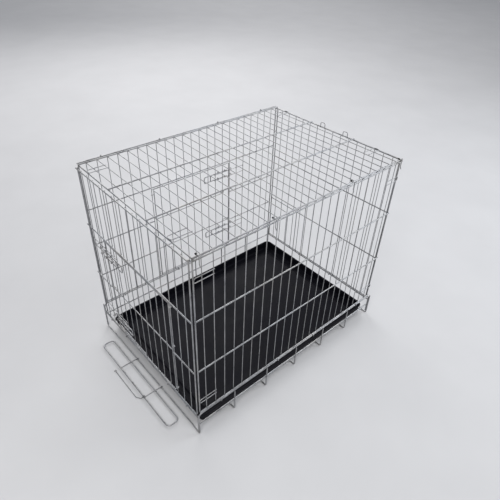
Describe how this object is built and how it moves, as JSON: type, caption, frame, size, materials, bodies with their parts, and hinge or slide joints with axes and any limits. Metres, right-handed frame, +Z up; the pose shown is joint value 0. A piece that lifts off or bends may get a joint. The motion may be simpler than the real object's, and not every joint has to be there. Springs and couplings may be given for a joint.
{
  "type": "wire dog crate",
  "caption": "Folding wire dog crate with two hinged doors on slide bolts, a slide-out floor tray, a tray flap and panels that fold flat over the base.",
  "frame": {"origin": "centre of the overall footprint at floor level", "axes": "+X along the length, from the front short panel with the tray flap towards the rear; +Y across the width, towards the side door; +Z up"},
  "size_m": [0.8472, 0.5522, 0.6381],
  "materials": {
    "zinc_wire": "satin",
    "black_plastic": "satin"
  },
  "bodies": {
    "base": {"base_rail_near": "zinc_wire", "base_rail_back": "zinc_wire", "base_guide_wires": "zinc_wire", "base_end_rods": "zinc_wire", "base_cross_wires": "zinc_wire"},
    "tray": {"tray": "black_plastic"},
    "tray_flap": {"tray_flap_loop": "zinc_wire", "tray_flap_arms": "zinc_wire"},
    "flap_latch": {"tray_flap_latch": "zinc_wire"},
    "front_panel": {"front_panel_hinge_rod": "zinc_wire", "front_panel_posts": "zinc_wire", "front_panel_horizontal_wires": "zinc_wire", "front_panel_vertical_wires": "zinc_wire", "front_door_bolt_keepers": "zinc_wire"},
    "front_door": {"front_door_hinge_rod": "zinc_wire", "front_door_frame_rods": "zinc_wire", "front_door_vertical_wires": "zinc_wire", "front_door_bolt_guides": "zinc_wire"},
    "front_bolt_upper": {"front_door_bolt_upper": "zinc_wire"},
    "front_bolt_lower": {"front_door_bolt_lower": "zinc_wire"},
    "rear_panel": {"rear_panel_hinge_rod": "zinc_wire", "rear_panel_posts": "zinc_wire", "rear_panel_horizontal_wires": "zinc_wire", "rear_panel_vertical_wires": "zinc_wire"},
    "near_panel": {"near_panel_hinge_rod": "zinc_wire", "near_panel_posts": "zinc_wire", "near_panel_horizontal_wires": "zinc_wire", "near_panel_vertical_wires": "zinc_wire", "near_panel_corner_clips": "zinc_wire"},
    "back_panel": {"back_panel_hinge_rod": "zinc_wire", "back_panel_posts": "zinc_wire", "back_panel_horizontal_wires": "zinc_wire", "back_panel_vertical_wires": "zinc_wire", "side_door_bolt_keepers": "zinc_wire"},
    "side_door": {"side_door_hinge_rod": "zinc_wire", "side_door_frame_rods": "zinc_wire", "side_door_vertical_wires": "zinc_wire", "side_door_bolt_guides": "zinc_wire"},
    "side_bolt_upper": {"side_door_bolt_upper": "zinc_wire"},
    "side_bolt_lower": {"side_door_bolt_lower": "zinc_wire"},
    "top_panel": {"top_panel_hinge_rod": "zinc_wire", "top_panel_long_rods": "zinc_wire", "top_panel_end_rods": "zinc_wire", "top_panel_cross_wires": "zinc_wire", "top_panel_end_clips": "zinc_wire", "top_panel_end_loops": "zinc_wire", "top_panel_hooks": "zinc_wire"}
  },
  "joints": [
    {"name": "tray_slide", "type": "slide", "parent": "base", "child": "tray", "axis": [1, 0, 0], "range_m": [-0.62, 0]},
    {"name": "tray_flap_hinge", "type": "hinge", "parent": "base", "child": "tray_flap", "pos_m": [-0.34352, 0.00084, 0.0054], "axis": [0, 1, 0], "range_deg": [0, 90]},
    {"name": "flap_latch_hinge", "type": "hinge", "parent": "tray_flap", "child": "flap_latch", "pos_m": [-0.40252, 0.00084, 0.00525], "axis": [0, 1, 0], "range_deg": [0, 140]},
    {"name": "front_panel_fold", "type": "hinge", "parent": "base", "child": "front_panel", "pos_m": [-0.34352, 0.00084, 0.074], "axis": [0, 1, 0], "range_deg": [0, 90]},
    {"name": "front_door_hinge", "type": "hinge", "parent": "front_panel", "child": "front_door", "pos_m": [-0.34047, -0.16565, 0.074], "axis": [0, 0, -1], "range_deg": [-110, 0]},
    {"name": "front_bolt_upper_slide", "type": "slide", "parent": "front_door", "child": "front_bolt_upper", "axis": [0, 1, 0], "range_m": [0, 0.028]},
    {"name": "front_bolt_lower_slide", "type": "slide", "parent": "front_door", "child": "front_bolt_lower", "axis": [0, 1, 0], "range_m": [0, 0.028]},
    {"name": "rear_panel_fold", "type": "hinge", "parent": "base", "child": "rear_panel", "pos_m": [0.41848, 0.00084, 0.064], "axis": [0, -1, 0], "range_deg": [0, 90]},
    {"name": "near_panel_fold", "type": "hinge", "parent": "base", "child": "near_panel", "pos_m": [0.03748, -0.26565, 0.084], "axis": [-1, 0, 0], "range_deg": [0, 88.6]},
    {"name": "back_panel_fold", "type": "hinge", "parent": "base", "child": "back_panel", "pos_m": [0.03748, 0.26735, 0.1055], "axis": [1, 0, 0], "range_deg": [0, 90]},
    {"name": "top_panel_hinge", "type": "hinge", "parent": "back_panel", "child": "top_panel", "pos_m": [0.03748, 0.26735, 0.624], "axis": [1, 0, 0], "range_deg": [-261, 0]},
    {"name": "side_door_hinge", "type": "hinge", "parent": "back_panel", "child": "side_door", "pos_m": [-0.12128, 0.2643, 0.1055], "axis": [0, 0, -1], "range_deg": [-110, 0]},
    {"name": "side_bolt_upper_slide", "type": "slide", "parent": "side_door", "child": "side_bolt_upper", "axis": [1, 0, 0], "range_m": [0, 0.028]},
    {"name": "side_bolt_lower_slide", "type": "slide", "parent": "side_door", "child": "side_bolt_lower", "axis": [1, 0, 0], "range_m": [0, 0.028]}
  ],
  "couplings": [
    {"joint": "top_panel_hinge", "follows": "back_panel_fold", "ratio": -2.9}
  ]
}
